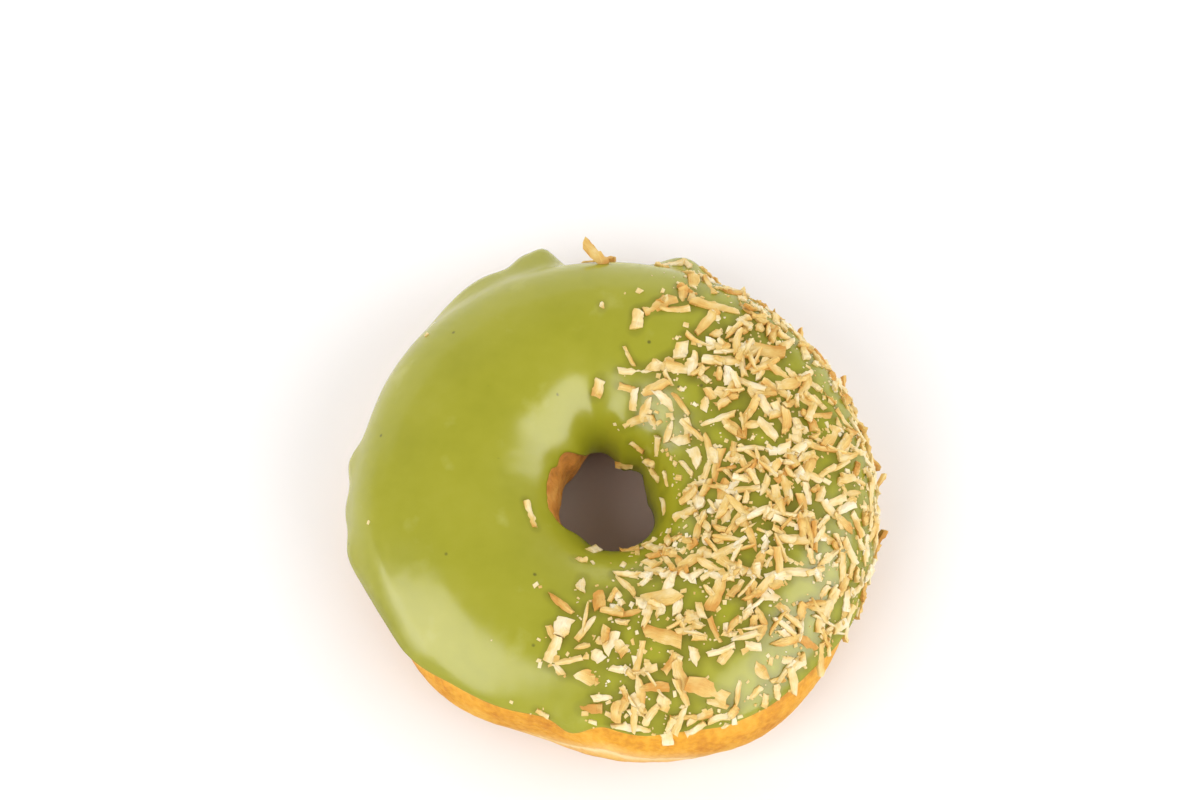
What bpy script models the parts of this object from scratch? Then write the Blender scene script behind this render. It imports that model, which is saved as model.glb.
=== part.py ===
"""Ring doughnut under matcha icing, with toasted coconut shreds over one half.

Two pieces: the raised, fried dough ring, and the icing it was dipped in. The shreds are
fused to the icing they are stuck in. +Z is up, +X runs from the bare half towards the
coconut half, and -Y is the front, where the icing stops highest on the side.

Two angles name a place on the ring. The azimuth runs round the hole, anticlockwise from +X.
The turn runs round the tube: 0 at the outer waist, 90 at the crest, 180 at the waist in the
hole and 270 underneath. Lengths are in millimetres until a mesh is made.
"""

import math
import random

import bmesh
import bpy
from mathutils import Vector, noise

MM = 0.001

# The dough ring. Its outer radius and its hole's radius are measured at the waist.
OUTER_RADIUS = 44.3
HOLE_RADIUS = 9.2
WAIST_HEIGHT = 14.2
CREST_HEIGHT = 28.6
FOOT_SINK = 0.9  # how much of the round underside the flat foot takes off
FULLNESS = 0.93  # power on the sine and cosine: 1 is an ellipse, less is fuller
UNEVEN = 0.35  # height of the soft lumps left by proving and frying
LUMP_SPACING = 9.0
CENTRING = Vector((-0.7, -2.6, 0.0))  # the hole's middle isn't quite the doughnut's
RING_STEPS = 60
RING_START = 2.6  # azimuth of the first step: one step then meets the largest lump of icing
TUBE_SIDES = 20

# Where the ring departs from round: azimuth, half-width in degrees, radius gained. Those of
# the waist fade out above and below it.
OUTER_SWELLS = [
    (132, 26, 0.9),
    (240, 26, -0.7),
    (278, 18, -0.4),
    (304, 23, 2.9),
]
WAIST_SWELLS = [(164, 12, -0.5), (208, 12, -1.2), (253, 12, -2.4)]
HOLE_SWELLS = [
    (102, 19, 3.6),
    (57, 8, 0.9),
    (71, 10, 1.0),
    (144, 12, 0.8),
    (212, 22, 0.3),
    (270, 40, 0.3),
    (8, 28, -1.1),
]
CREST_SWELLS = [(20, 50, 0.6), (150, 60, 0.4), (250, 35, -0.7)]

# The icing. Its edges are turns of the tube, and its thickness stands off the dough.
ICING_THICKNESS = 1.25
EVENING = 0.7  # share of the dough's lumps that the icing fills
CLEARANCE = 0.35  # gap between the icing and the dough below it
RIM_HEIGHT = 0.4  # share of the thickness that the edge rises straight up
BEAD_RADIUS = 1.1  # the rounding of the edge, measured along the dough
EDGE_TURN_BACK = -14.0
EDGE_RISE_FRONT = (276, 62, 50.0)
EDGE_TURN_HOLE = 190.0
EDGE_RISE_HOLE = (176, 57, -43.0)
# Tongues of icing on the outer edge: azimuth, half-width, change of the edge's turn.
TONGUES = [
    (40, 12.0, -5.0),
    (77, 8.0, 7.0),
    (119, 19.0, 15.0),
    (171, 7.0, 5.0),
    (191, 6.0, 4.0),
    (229, 13.0, 9.0),
    (260.5, 4.0, -9.0),
    (268, 3.5, 2.0),
    (277, 9.0, -5.0),
    (291, 7.0, -3.0),
    (308, 6.0, 2.0),
]
HOLE_TONGUES = [
    (128, 12.0, -6.0),
    (150, 7.0, 4.0),
    (200, 5.0, 2.0),
    (30, 16.0, 10.0),
    (300, 18.0, 8.0),
]
# Where icing gathered at the outer edge: azimuth, half-width, thickness gained.
EDGE_BEADS = [
    (74, 7.0, 4.4),
    (103.8, 2.8, 3.8),
    (108, 3.6, 2.8),
    (118, 14, 2.7),
    (148, 9.0, 0.75),
    (169, 5.0, 1.65),
    (180, 4.5, 0.9),
    (191, 5.5, 1.0),
    (260.5, 4.0, 0.5),
    (330, 14, 0.2),
]
EDGE_BEAD_REACH = 3.4
EDGE_BEAD_RISE = 1.6  # how far above the edge they are thickest
BEAD_ROUNDNESS = 0.35  # how much wider the rounding is for each millimetre gained
HOLE_BEADS = [(28, 16, 1.1), (78, 9, 1.0), (230, 20, 0.3)]
HOLE_BEAD_REACH = 5.0
TOP_ROWS = 9  # rows of faces on the icing between its two rounded edges
UNDER_ROWS = 13  # rows of faces on its underside
ARC_PER_DEGREE = 0.28  # length of tube surface in one degree of turn

# The coconut. A shred is placed as it is seen from the front, looking down at this angle
# and from this far away.
VIEW_ELEVATION = 70.0
VIEW_DISTANCE = 520.0
SHRED_SEED = 17
SHRED_COUNT = 414
SHORTEST, LONGEST = 2.3, 6.2
WIDTHS = (0.8, 1.6)
WIDER_FEW = 0.9  # a few of them are up to this much wider
THICKNESSES = (0.85, 1.1)
LARGEST_SHREDS = 175  # how many of them, largest first, are modelled
SHRED_SINK = 0.42  # depth of a shred's middle in the icing
SHRED_TIP_RISE = 0.4  # most that an end stands up above the middle
SPACING = 0.24  # least distance between two shreds, as a share of their lengths
BENT_ABOVE = 6.0  # shreds longer than this are bent once
# The coconut starts at a line across the ring, seen from above.
COCONUT_LINE_X = -5.2
COCONUT_LINE_SLOPE = 0.277
COCONUT_FADE = 17.0  # and is at its thickest this far past the line
BARE_ROUND_HOLE = 11.0  # it hardly starts within this radius
HOLE_FADE = 5.0
# Towards the front and the back it thins: from this Y, to this Y, by this share.
THINNING = [(-18.0, -34.0, 0.45), (30.0, 42.0, 0.5)]
CLUMP_SPACING = 7.0
BARE_SPOTS = [
    (13.3, 30.2, 4.0),
    (21.0, -33.4, 4.5),
    (26.3, -27.9, 4.5),
    (36.7, 18.4, 4.0),
    (-4.0, -15.5, 8.0),
    (3.5, 29.0, 5.0),
    (-12.0, -24.0, 6.0),
    (-4.0, -37.0, 7.0),
]
# Shreds that stand clear enough to be known one by one: across, up, heading, length, width,
# seen from the front and above with the ring's middle as zero.
NAMED_SHREDS = [
    (-14.3, -0.7, 112, 4.8, 1.2),
    (-2.6, 21.3, 76, 3.1, 1.7),
    (4.2, 33.1, 80, 3.5, 2.0),
    (2.8, 26.7, 115, 3.9, 0.7),
    (4.0, 24.3, 0, 6.0, 1.1),
    (7.2, 25.0, 30, 3.0, 2.0),
    (9.5, 36.4, 20, 3.0, 2.3),
    (12.1, 37.3, 85, 3.0, 1.5),
    (7.3, 21.4, 25, 5.2, 1.9),
    (3.7, 19.2, 80, 4.2, 1.3),
    (5.7, 17.8, 62, 4.2, 1.6),
    (-8.9, -16.2, 140, 5.2, 1.2),
    (-8.7, -20.2, 70, 3.6, 2.8),
    (-10.5, -24.0, 65, 4.6, 1.9),
    (-2.4, -15.5, 95, 3.3, 2.0),
    (-4.3, -29.0, 150, 3.8, 2.4),
    (-3.7, -34.2, 5, 3.5, 1.7),
    (7.9, -15.0, 12, 6.8, 3.1),
    (16.0, -31.1, 155, 7.6, 2.9),
    (8.5, -21.8, 165, 6.2, 2.4),
    (26.5, 27.9, 3, 6.8, 2.9),
    (17.5, 35.6, 178, 8.4, 1.9),
    (4.6, -31.0, 95, 4.8, 1.5),
    (0.6, -34.6, 85, 3.6, 1.8),
    (3.0, -37.4, 165, 6.6, 1.4),
    (6.7, -35.2, 60, 4.2, 1.3),
    (9.2, -39.6, 100, 4.6, 1.9),
    (46.3, 1.4, 110, 4.6, 1.6),
    (25.5, 20.6, 30, 3.8, 3.2),
    (-3.3, -6.6, 60, 3.2, 1.9),
    (2.9, -6.7, 140, 4.0, 1.6),
    (-5.5, -8.5, 0, 2.0, 1.2),
    (6.3, -5.5, 20, 2.6, 1.1),
    (8.7, 0.6, 100, 3.6, 1.3),
    (10.7, -5.0, 0, 2.9, 0.9),
    (2.1, 8.3, 160, 3.0, 1.1),
    (4.2, 11.1, 125, 2.8, 1.0),
    (7.7, 11.1, 50, 3.6, 1.2),
    (6.4, 8.2, 0, 2.4, 1.4),
    (7.4, 6.1, 155, 2.6, 1.1),
    (9.2, 5.4, 95, 2.8, 0.7),
    (-1.9, 35.5, 90, 0.9, 0.8),
]
# Shreds with one end held well up: the same five values, the thickness and that end's rise.
RAISED_SHREDS = [
    (-3.0, 43.3, 128, 3.9, 1.8, 2.0, 1.6),
    (-2.4, 43.8, 5, 5.6, 1.3, 1.3, 0.4),
    (46.0, -4.9, 0, 3.6, 2.8, 1.1, 0.9),
    (45.9, 4.2, 60, 4.2, 1.5, 1.0, 1.1),
    (45.3, 9.0, 0, 3.4, 2.2, 1.0, 0.8),
    (39.6, 22.0, 60, 3.6, 1.8, 1.0, 1.0),
    (33.6, 30.4, 60, 4.0, 1.8, 1.0, 1.1),
    (27.2, 35.4, 110, 4.0, 2.0, 1.2, 0.9),
    (29.6, 36.4, 160, 4.6, 1.5, 1.0, 1.0),
]


def bell(azimuth, centre, width):
    """1 at the centre, falling smoothly to nothing about two widths away."""
    away = (azimuth - centre + 180) % 360 - 180
    return math.exp(-((away / width) ** 2))


def shelf(azimuth, centre, width):
    """Like bell, with a flatter top and steeper ends."""
    away = (azimuth - centre + 180) % 360 - 180
    return math.exp(-((away / width) ** 4))


def swell(azimuth, swells):
    return sum(gain * bell(azimuth, centre, width) for centre, width, gain in swells)


def fuller(share):
    return math.copysign(abs(share) ** FULLNESS, share)


def dough_point(azimuth, turn, proud=0.0):
    """The point that stands this far proud of the dough's surface."""
    outer = OUTER_RADIUS + swell(azimuth, OUTER_SWELLS)
    hole = HOLE_RADIUS + swell(azimuth, HOLE_SWELLS)
    crest = CREST_HEIGHT + swell(azimuth, CREST_SWELLS)
    across = math.cos(math.radians(turn))
    up = math.sin(math.radians(turn))
    height = crest - WAIST_HEIGHT if up > 0 else WAIST_HEIGHT + FOOT_SINK
    angle = math.radians(azimuth)
    outward = Vector((math.cos(angle), math.sin(angle), 0.0))
    middle = (outer + hole) / 2
    half = (outer - hole) / 2
    round_point = outward * (middle + half * across) + Vector((0, 0, height * up))
    lump = UNEVEN * noise.noise(round_point / LUMP_SPACING)
    lump *= 1 - EVENING * min(1.0, max(0.0, proud / ICING_THICKNESS))
    radius = middle + (half + proud + lump) * fuller(across)
    radius += swell(azimuth, WAIST_SWELLS) * max(0.0, across) ** 4
    level = WAIST_HEIGHT + (height + proud + lump) * fuller(up)
    return outward * radius + Vector((0, 0, max(0.0, level)))


def placed(point):
    """The point in metres, moved so that the whole doughnut's middle is over the origin."""
    return (point + CENTRING) * MM


def outer_edge(azimuth):
    centre, width, rise = EDGE_RISE_FRONT
    return EDGE_TURN_BACK + rise * bell(azimuth, centre, width) + swell(azimuth, TONGUES)


def hole_edge(azimuth):
    centre, width, rise = EDGE_RISE_HOLE
    return EDGE_TURN_HOLE + rise * shelf(azimuth, centre, width) + swell(azimuth, HOLE_TONGUES)


def rounding(distance, radius):
    """The share of its full thickness that the icing has at this distance from its edge."""
    inward = min(1.0, max(0.0, distance / radius))
    return RIM_HEIGHT + (1 - RIM_HEIGHT) * math.sqrt(1 - (1 - inward) ** 2)


def icing_thickness(azimuth, turn):
    from_outer = (turn - outer_edge(azimuth)) * ARC_PER_DEGREE
    from_hole = (hole_edge(azimuth) - turn) * ARC_PER_DEGREE
    bead = swell(azimuth, EDGE_BEADS)
    gathered = bead * math.exp(-(((from_outer - EDGE_BEAD_RISE) / EDGE_BEAD_REACH) ** 2))
    gathered += swell(azimuth, HOLE_BEADS) * math.exp(-((from_hole / HOLE_BEAD_REACH) ** 2))
    outer_rounding = rounding(from_outer, BEAD_RADIUS + BEAD_ROUNDNESS * bead)
    return (ICING_THICKNESS + gathered) * min(outer_rounding, rounding(from_hole, BEAD_RADIUS))


def icing_point(azimuth, turn):
    return dough_point(azimuth, turn, icing_thickness(azimuth, turn))


def icing_frame(azimuth, turn):
    """A point on the icing and the way its surface faces there."""
    step = 0.5
    point = icing_point(azimuth, turn)
    round_ring = icing_point(azimuth + step, turn) - icing_point(azimuth - step, turn)
    round_tube = icing_point(azimuth, turn + step) - icing_point(azimuth, turn - step)
    return point, round_ring.cross(round_tube).normalized()


def place_seen_at(across, up):
    """The azimuth and turn of the icing seen this far across and up from the ring's middle."""
    elevation = math.radians(VIEW_ELEVATION)
    level, deep = CREST_HEIGHT, 0.0
    azimuth = turn = 90.0
    for _ in range(8):
        above = level - WAIST_HEIGHT
        away = deep * math.cos(elevation) - above * math.sin(elevation)
        scale = 1 + away / VIEW_DISTANCE
        deep = (up * scale - above * math.cos(elevation)) / math.sin(elevation)
        azimuth = math.degrees(math.atan2(deep, across * scale))
        outer = OUTER_RADIUS + ICING_THICKNESS + swell(azimuth, OUTER_SWELLS)
        hole = HOLE_RADIUS - ICING_THICKNESS + swell(azimuth, HOLE_SWELLS)
        share = (math.hypot(across * scale, deep) - (outer + hole) / 2) / ((outer - hole) / 2)
        share = max(-1.0, min(1.0, share))
        turn = math.degrees(math.acos(math.copysign(abs(share) ** (1 / FULLNESS), share)))
        level = (level + icing_point(azimuth, turn).z) / 2
    return azimuth, turn


def coconut_cover(point):
    """How likely a shred is to have fallen here, from 0 to 1."""
    past_line = point.x - COCONUT_LINE_X - COCONUT_LINE_SLOPE * point.y
    from_hole = math.hypot(point.x, point.y) - BARE_ROUND_HOLE
    cover = min(1.0, max(0.0, past_line / COCONUT_FADE)) ** 1.3
    cover *= min(1.0, max(0.0, from_hole / HOLE_FADE))
    cover *= 0.75 + 0.5 * noise.noise(point / CLUMP_SPACING)
    for start, end, loss in THINNING:
        cover *= 1 - loss * min(1.0, max(0.0, (point.y - start) / (end - start)))
    for x, y, reach in BARE_SPOTS:
        cover *= min(1.0, math.hypot(point.x - x, point.y - y) / reach) ** 2
    return cover


def shred_plan():
    """Azimuth, turn, heading, length, width, thickness and rise of each shred."""
    draw = random.Random(SHRED_SEED)
    plan = []
    taken = []
    known = []
    for shred in NAMED_SHREDS:
        thickness = draw.uniform(0.9, 1.15)
        known.append((*shred, thickness, draw.uniform(-1, 1) * SHRED_TIP_RISE))
    for across, up, *form in known + RAISED_SHREDS:
        azimuth, turn = place_seen_at(across, up)
        plan.append((azimuth, turn, *form))
        taken.append((icing_point(azimuth, turn), form[1]))
    while len(plan) < SHRED_COUNT:
        azimuth = draw.uniform(-180, 180)
        turn = draw.uniform(outer_edge(azimuth) + 3, hole_edge(azimuth) - 4)
        size = draw.random()
        heading = draw.uniform(0, 180)
        length = SHORTEST + (LONGEST - SHORTEST) * size**1.4
        width = draw.uniform(*WIDTHS) + WIDER_FEW * draw.random() ** 4
        thickness = draw.uniform(*THICKNESSES)
        rise = draw.uniform(-1, 1) * SHRED_TIP_RISE
        kept = draw.random()
        point = icing_point(azimuth, turn)
        if kept > coconut_cover(point) * math.hypot(point.x, point.y) / OUTER_RADIUS:
            continue
        if any((point - near).length < SPACING * (length + long) for near, long in taken):
            continue
        plan.append((azimuth, turn, heading, length, width, thickness, rise))
        taken.append((point, length))
    return plan


def material(name, colour, roughness):
    made = bpy.data.materials.new(name)
    made.use_nodes = True
    shader = made.node_tree.nodes["Principled BSDF"]
    shader.inputs["Base Color"].default_value = (*colour, 1.0)
    shader.inputs["Roughness"].default_value = roughness
    shader.inputs["Metallic"].default_value = 0.0
    return made


def object_from(bm, name, skin, collection=None):
    mesh = bpy.data.meshes.new(name)
    bm.to_mesh(mesh)
    bm.free()
    mesh.shade_smooth()
    mesh.set_sharp_from_angle(angle=math.radians(45))
    mesh.materials.append(skin)
    obj = bpy.data.objects.new(name, mesh)
    (collection or bpy.context.scene.collection).objects.link(obj)
    return obj


def spun(bm, section):
    """Spins a closed section, drawn in the XZ plane, into a ring of RING_STEPS steps."""
    bmesh.ops.spin(
        bm,
        geom=section,
        cent=(0, 0, 0),
        axis=(0, 0, 1),
        angle=math.tau,
        steps=RING_STEPS,
        use_merge=True,
    )
    bmesh.ops.remove_doubles(bm, verts=bm.verts, dist=1e-6)


def azimuth_of(vertex):
    return math.degrees(math.atan2(vertex.co.y, vertex.co.x)) + RING_START


def make_dough():
    """A plain ring of round section, whose vertices then move to the dough's surface."""
    bm = bmesh.new()
    stand_in_radius = 3.0
    circle = bmesh.ops.create_circle(bm, segments=TUBE_SIDES, radius=1.0)
    for v in circle["verts"]:
        v.co = Vector((stand_in_radius + v.co.x, 0.0, v.co.y))
    spun(bm, bm.verts[:] + bm.edges[:])
    for v in bm.verts:
        out = math.hypot(v.co.x, v.co.y) - stand_in_radius
        turn = math.degrees(math.atan2(v.co.z, out))
        v.co = placed(dough_point(azimuth_of(v), turn))
    bmesh.ops.recalc_face_normals(bm, faces=bm.faces)
    return object_from(bm, "dough", material("fried_dough", (0.66, 0.33, 0.085), 0.55))


def top_turns(azimuth):
    """The turns of the icing's rows of vertices, close together at its two rounded edges."""
    close_rows = [distance / ARC_PER_DEGREE for distance in (0.0, 0.35, 1.1, 2.6)]
    low, high = outer_edge(azimuth), hole_edge(azimuth)
    first, last = low + close_rows[-1], high - close_rows[-1]
    between = [first + (last - first) * i / TOP_ROWS for i in range(1, TOP_ROWS)]
    return [low + s for s in close_rows] + between + [high - s for s in reversed(close_rows)]


def under_turns(azimuth):
    """The turns of the rows on the icing's underside, evenly spaced."""
    low, high = outer_edge(azimuth), hole_edge(azimuth)
    return [low + (high - low) * i / UNDER_ROWS for i in range(UNDER_ROWS + 1)]


def make_icing():
    """A thin shell over the dough: the same spin, with each vertex numbered by its row."""
    bm = bmesh.new()
    row_of = bm.verts.layers.int.new("row")
    under = bm.verts.layers.int.new("under")
    top_rows, under_rows = len(top_turns(0.0)), len(under_turns(0.0))
    rows = [(row, 0, row / (top_rows - 1)) for row in range(top_rows)]
    rows += [(row, 1, row / (under_rows - 1)) for row in reversed(range(under_rows))]
    section = []
    for row, side, share in rows:
        angle, radius = math.pi * share, (1.0, 0.5)[side]
        v = bm.verts.new((3.0 + radius * math.cos(angle), 0.0, radius * math.sin(angle)))
        v[row_of] = row
        v[under] = side
        section.append(v)
    for i, v in enumerate(section):
        bm.edges.new((section[i - 1], v))
    spun(bm, bm.verts[:] + bm.edges[:])
    for v in bm.verts:
        azimuth = azimuth_of(v)
        if v[under]:
            point = dough_point(azimuth, under_turns(azimuth)[v[row_of]], CLEARANCE)
        else:
            point = icing_point(azimuth, top_turns(azimuth)[v[row_of]])
        v.co = placed(point)
    bmesh.ops.recalc_face_normals(bm, faces=bm.faces)
    return object_from(bm, "icing", material("matcha_icing", (0.38, 0.38, 0.05), 0.22))


def make_shred(index, shred, skin, collection):
    """A short strip lying in the icing, with one end a little up and ragged corners."""
    azimuth, turn, heading, length, width, thickness, rise = shred
    draw = random.Random(SHRED_SEED * 1000 + index)
    point, normal = icing_frame(azimuth, turn)
    angle = math.radians(heading)
    along = Vector((math.cos(angle), math.sin(angle), 0.0))
    along = (along - normal * along.dot(normal)).normalized()
    side = normal.cross(along)
    bm = bmesh.new()
    bmesh.ops.create_cube(bm, size=1.0)
    if length > BENT_ABOVE:
        lengthways = [e for e in bm.edges if abs(e.verts[0].co.x - e.verts[1].co.x) > 0.5]
        bmesh.ops.subdivide_edges(bm, edges=lengthways, cuts=1, use_grid_fill=True)
    sway = draw.uniform(-0.22, 0.22) * length
    rise_share = max(0.0, abs(rise) - SHRED_TIP_RISE) / max(abs(rise), SHRED_TIP_RISE)
    for v in bm.verts:
        ragged = draw.uniform(0.8, 1.1)
        x = v.co.x * length * draw.uniform(0.88, 1.06)
        y = v.co.y * width * ragged + sway * (0.25 - v.co.x**2)
        z = (v.co.z + 0.5) * thickness - SHRED_SINK + rise * (2 * v.co.x + rise_share)
        v.co = placed(point + along * x + side * y + normal * z)
    bmesh.ops.recalc_face_normals(bm, faces=bm.faces)
    return object_from(bm, f"shred_{index}", skin, collection)


def fuse(obj, collection):
    """Joins everything in the collection to the object and removes the loose pieces."""
    joint = obj.modifiers.new("fuse", "BOOLEAN")
    joint.operation = "UNION"
    joint.operand_type = "COLLECTION"
    joint.collection = collection
    joint.solver = "EXACT"
    joint.use_self = True
    joint.material_mode = "TRANSFER"
    bpy.context.view_layer.objects.active = obj
    bpy.ops.object.modifier_apply(modifier=joint.name)
    for loose in list(collection.objects):
        bpy.data.objects.remove(loose)
    bpy.data.collections.remove(collection)


def keep_outer_skin(mesh):
    """Fills the pockets that fusing sealed, and drops loose scraps, by keeping one skin."""
    bm = bmesh.new()
    bm.from_mesh(mesh)
    bmesh.ops.triangulate(bm, faces=bm.faces)
    left = set(bm.faces)
    skins = []
    while left:
        skin = [left.pop()]
        for face in skin:
            plain = [edge for edge in face.edges if len(edge.link_faces) == 2]
            near = {n for edge in plain for n in edge.link_faces} & left
            left -= near
            skin.extend(near)
        skins.append(skin)
    skins.sort(key=len)
    extra = [face for skin in skins[:-1] for face in skin]
    bmesh.ops.delete(bm, geom=extra, context="FACES")
    bm.to_mesh(mesh)
    bm.free()


def main():
    for obj in list(bpy.data.objects):
        bpy.data.objects.remove(obj)
    make_dough()
    icing = make_icing()
    shreds = bpy.data.collections.new("shreds")
    bpy.context.scene.collection.children.link(shreds)
    toasted = material("toasted_coconut", (0.82, 0.56, 0.27), 0.6)
    largest = sorted(shred_plan(), key=lambda shred: -shred[3] * shred[4])[:LARGEST_SHREDS]
    for index, shred in enumerate(largest):
        make_shred(index, shred, toasted, shreds)
    fuse(icing, shreds)
    keep_outer_skin(icing.data)


main()
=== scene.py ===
"""Iced ring doughnut with toasted coconut: the detailed surfaces, light and camera.

Lengths in the shape functions are in millimetres. The azimuth runs round the hole from +X,
and the turn runs round the tube: 0 at the outer waist, 90 at the crest and 180 in the hole.
"""

import functools
import math
import random

import bmesh
import bpy
from mathutils import Matrix, Vector, kdtree, noise


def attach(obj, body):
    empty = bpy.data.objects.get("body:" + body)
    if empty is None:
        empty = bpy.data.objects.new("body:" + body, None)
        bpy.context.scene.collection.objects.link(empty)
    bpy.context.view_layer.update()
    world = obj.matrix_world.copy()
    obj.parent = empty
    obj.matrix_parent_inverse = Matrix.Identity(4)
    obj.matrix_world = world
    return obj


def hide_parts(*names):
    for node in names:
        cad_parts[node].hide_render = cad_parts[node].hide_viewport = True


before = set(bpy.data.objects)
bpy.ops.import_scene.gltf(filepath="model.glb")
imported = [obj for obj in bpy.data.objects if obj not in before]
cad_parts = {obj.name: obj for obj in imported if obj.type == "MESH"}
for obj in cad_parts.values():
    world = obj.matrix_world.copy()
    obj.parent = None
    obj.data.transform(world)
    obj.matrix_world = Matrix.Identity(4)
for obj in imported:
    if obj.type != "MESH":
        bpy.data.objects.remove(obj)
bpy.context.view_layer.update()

MM = 0.001

# The dough ring's form, as in the CAD part. Its two radii are measured at the waist.
OUTER_RADIUS = 44.3
HOLE_RADIUS = 9.2
WAIST_HEIGHT = 14.2
CREST_HEIGHT = 28.6
FOOT_SINK = 0.9  # how much of the round underside the flat foot takes off
FULLNESS = 0.93  # power on the sine and cosine: 1 is an ellipse, less is fuller
UNEVEN = 0.35  # height of the soft lumps left by proving and frying
LUMP_SPACING = 9.0
CENTRING = Vector((-0.7, -2.6, 0.0))  # the hole's middle isn't quite the doughnut's

# Where the ring departs from round: azimuth, half-width in degrees, radius gained. Those of
# the waist fade out above and below it.
OUTER_SWELLS = [
    (132, 26, 0.9),
    (240, 26, -0.7),
    (278, 18, -0.4),
    (304, 23, 2.9),
]
WAIST_SWELLS = [(164, 12, -0.5), (208, 12, -1.2), (253, 12, -2.4)]
HOLE_SWELLS = [
    (102, 19, 3.6),
    (57, 8, 0.9),
    (71, 10, 1.0),
    (144, 12, 0.8),
    (212, 22, 0.3),
    (270, 40, 0.3),
    (8, 28, -1.1),
]
CREST_SWELLS = [(20, 50, 0.6), (150, 60, 0.4), (250, 35, -0.7)]

# The icing's form, as in the CAD part. Its edges are turns of the tube. Each departs from an
# even run where a group gives the azimuth, the half-width and the change of turn.
ICING_THICKNESS = 1.25
EVENING = 0.7  # share of the dough's lumps that the icing fills
BEAD_RADIUS = 1.1  # the rounding of the edge, measured along the dough
EDGE_TURN_BACK = -14.0
EDGE_RISE_FRONT = (276, 62, 50.0)
EDGE_TURN_HOLE = 190.0
EDGE_RISE_HOLE = (176, 57, -43.0)
TONGUES = [
    (40, 12.0, -5.0),
    (77, 8.0, 7.0),
    (119, 19.0, 15.0),
    (171, 7.0, 5.0),
    (191, 6.0, 4.0),
    (229, 13.0, 9.0),
    (260.5, 4.0, -9.0),
    (268, 3.5, 2.0),
    (277, 9.0, -5.0),
    (291, 7.0, -3.0),
    (308, 6.0, 2.0),
]
HOLE_TONGUES = [
    (128, 12.0, -6.0),
    (150, 7.0, 4.0),
    (200, 5.0, 2.0),
    (30, 16.0, 10.0),
    (300, 18.0, 8.0),
]
# Where icing gathered at its edges: azimuth, half-width, thickness gained.
EDGE_BEADS = [
    (74, 7.0, 4.4),
    (103.8, 2.8, 3.8),
    (108, 3.6, 2.8),
    (118, 14, 2.7),
    (148, 9.0, 0.75),
    (169, 5.0, 1.65),
    (180, 4.5, 0.9),
    (191, 5.5, 1.0),
    (260.5, 4.0, 0.5),
    (330, 14, 0.2),
]
EDGE_BEAD_REACH = 3.4
EDGE_BEAD_RISE = 1.6  # how far above the edge they are thickest
BEAD_ROUNDNESS = 0.35  # how much wider the rounding is for each millimetre gained
HOLE_BEADS = [(28, 16, 1.1), (78, 9, 1.0), (230, 20, 0.3)]
HOLE_BEAD_REACH = 5.0
ARC_PER_DEGREE = 0.28  # length of tube surface in one degree of turn

# The finer surfaces.
RING_STEPS = 400
DOUGH_SIDES = 110
STAND_IN_RADIUS = 3.0  # of the plain ring, whose vertices then move to the real surface
ICING_TOP_ROWS = 84
ICING_UNDER_ROWS = 8
# How far from the icing's edges the rows nearest them are.
ICING_CLOSE_ROWS = (0.0, 0.05, 0.15, 0.3, 0.5, 0.8, 1.1, 1.6, 2.3, 3.2)
EDGE_RAGGED = 1.1  # degrees of turn that the icing's edges wander by
HOLE_RAGGEDNESS = 1.6  # how many times as much its edge in the hole does
EDGE_LIFTS = [(318, 11, 7.0)]  # where its outer edge is higher still than the CAD part's
ICING_WAVES = 0.055  # height of the soft waves in the icing
ICING_WAVE_SPACING = 8.0
ICING_RIPPLES = 0.35  # height of the finer waves, as a share of the soft ones'
ICING_RIPPLE_SPACING = 2.7
ICING_SINK = 0.25  # how far the underside of the icing reaches into the dough's surface
CRUST_RELIEF = 0.10  # height of the wrinkles in the fried crust
WRINKLE_SPACING = 2.6
PIT_DEPTH = 2.2  # of the crust's pits, as a share of the wrinkles' height
PIT_SPACING = 1.1
PITS_FROM = 0.35  # the higher, the fewer pits
HOLE_WALL = (180, 60)  # turn and half-width of the dough that is rougher in the hole
HOLE_ROUGHER_BY = 1.5
PALE_LINE_TURN = -20.0  # the pale line round the dough, where it rose out of the oil
PALE_LINE_RISES = [(268, 9, 24.0), (284, 9, 12.0), (40, 50, 6.0)]
PALE_LINE_GROOVE = 0.3
PALE_LINE_REACH = 0.9
PALE_LINE_WANDER = 2.0
# Seeds of the lines that wander round the ring.
PALE_LINE_SEED, OUTER_EDGE_SEED, HOLE_EDGE_SEED = 3.0, 2.0, 7.0

# The camera. Lengths in its picture are in pixels.
VIEW_ELEVATION = 70.0
VIEW_DISTANCE = 520.0
PICTURE_WIDTH = 1200
PIXELS_PER_MM = 5.77
FOCAL_LENGTH = 3000.0
RIGHT_BY, BELOW_BY = 13.0, 111.0  # how far from its centre the ring's middle is seen
AIMED_HEIGHT = 14.0
SENSOR_WIDTH = 36.0

# The coconut, as in the CAD part, which has the largest of these shreds. A shred is placed as
# it is seen from the camera's angle and distance.
SHRED_SEED = 17
SHRED_COUNT = 414
SHORTEST, LONGEST = 2.3, 6.2
WIDTHS = (0.8, 1.6)
WIDER_FEW = 0.9  # a few of them are up to this much wider
THICKNESSES = (0.85, 1.1)
NAMED_THICKNESSES = (0.9, 1.15)
SHRED_SINK = 0.42  # depth of a shred's middle in the icing
SHRED_TIP_RISE = 0.4  # most that an end stands up above the middle
SPACING = 0.24  # least distance between two shreds, as a share of their lengths
# The coconut starts at a line across the ring, seen from above.
COCONUT_LINE_X = -5.2
COCONUT_LINE_SLOPE = 0.277
COCONUT_FADE = 17.0  # and is at its thickest this far past the line
COCONUT_FADE_POWER = 1.3
BARE_ROUND_HOLE = 11.0  # it hardly starts within this radius
HOLE_FADE = 5.0
# Towards the front and the back it thins: from this Y, to this Y, by this share.
THINNING = [(-18.0, -34.0, 0.45), (30.0, 42.0, 0.5)]
CLUMP_SPACING = 7.0
MEAN_COVER, CLUMPING = 0.75, 0.5
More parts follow.
